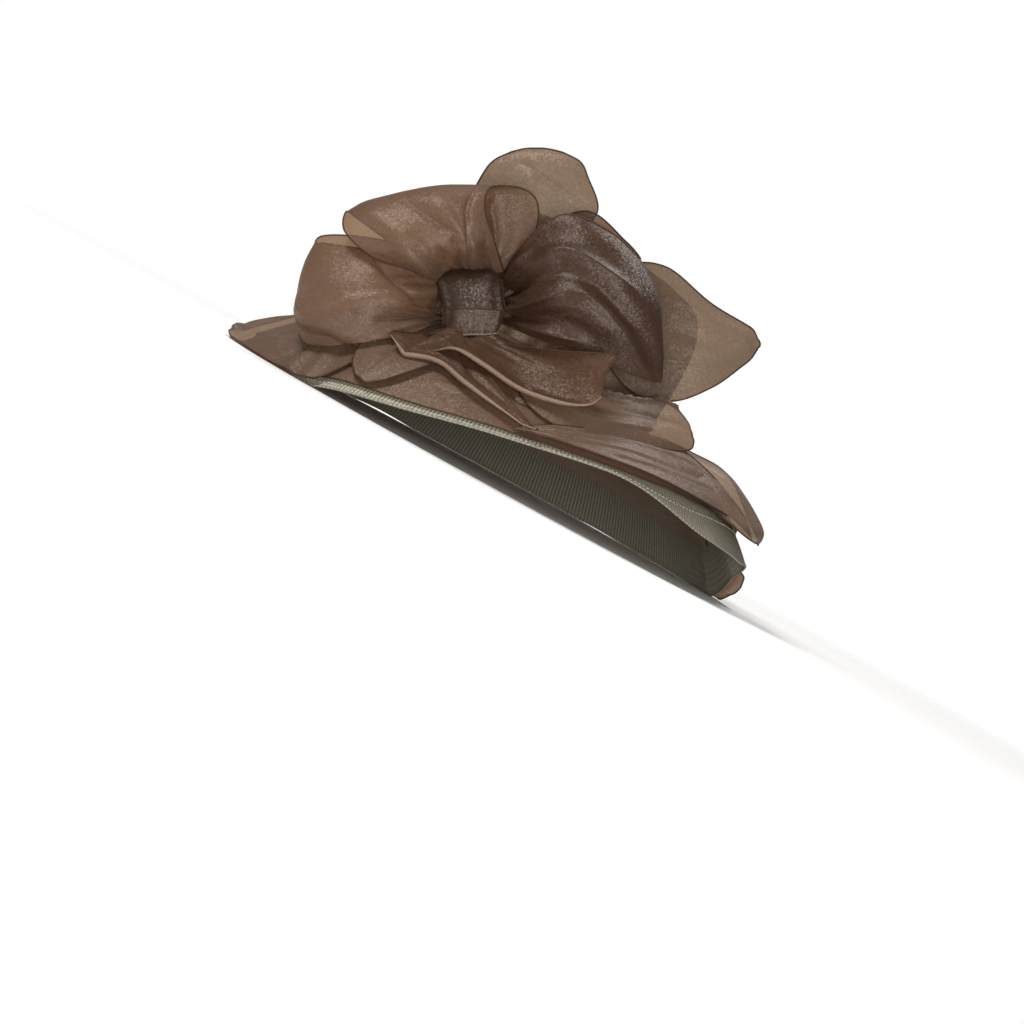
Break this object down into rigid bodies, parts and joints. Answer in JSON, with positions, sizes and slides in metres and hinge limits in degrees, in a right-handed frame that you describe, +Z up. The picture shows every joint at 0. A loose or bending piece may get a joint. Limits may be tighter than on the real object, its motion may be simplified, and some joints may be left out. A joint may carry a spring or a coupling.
{
  "type": "wide-brimmed dress hat",
  "caption": "Wide-brimmed formal hat of sheer organza with an arched brim, a ribbed edge band, petals laid on the brim and a large looped bow at the front of its crown.",
  "frame": {"origin": "middle of the hat's box, on the table that the brim's rim rests on", "axes": "+Z up, +Y away from the side that the bow faces, +X to the bow's right as it is looked at"},
  "size_m": [0.4248, 0.387, 0.2308],
  "materials": {
    "crown_cloth": "sheer crystal organza over a lining, satin, with fine glitter",
    "brim_cloth": "sheer crystal organza, satin, with fine glitter",
    "ribbed_band": "ribbed horsehair braid, matt, stitched in rows",
    "petal_cloth": "stiff sheer organza with rolled dark hems",
    "bow_cloth": "stiff sheer organza, doubled, with rolled dark hems",
    "knot_cloth": "gathered organza in several layers"
  },
  "bodies": {
    "root": {"crown": "crown_cloth", "brim": "brim_cloth", "edge_band": "ribbed_band", "brim_petal_left": "petal_cloth", "brim_petal_front": "petal_cloth", "brim_petal_standing": "petal_cloth", "brim_petal_right": "petal_cloth", "brim_petal_back": "petal_cloth", "bow_knot": "knot_cloth", "bow_loop_top": "bow_cloth", "bow_loop_left": "bow_cloth", "bow_loop_right": "bow_cloth", "bow_leaf_upper": "bow_cloth", "bow_leaf_side": "bow_cloth", "bow_tail_right": "bow_cloth", "bow_tail_left": "bow_cloth"}
  },
  "joints": []
}
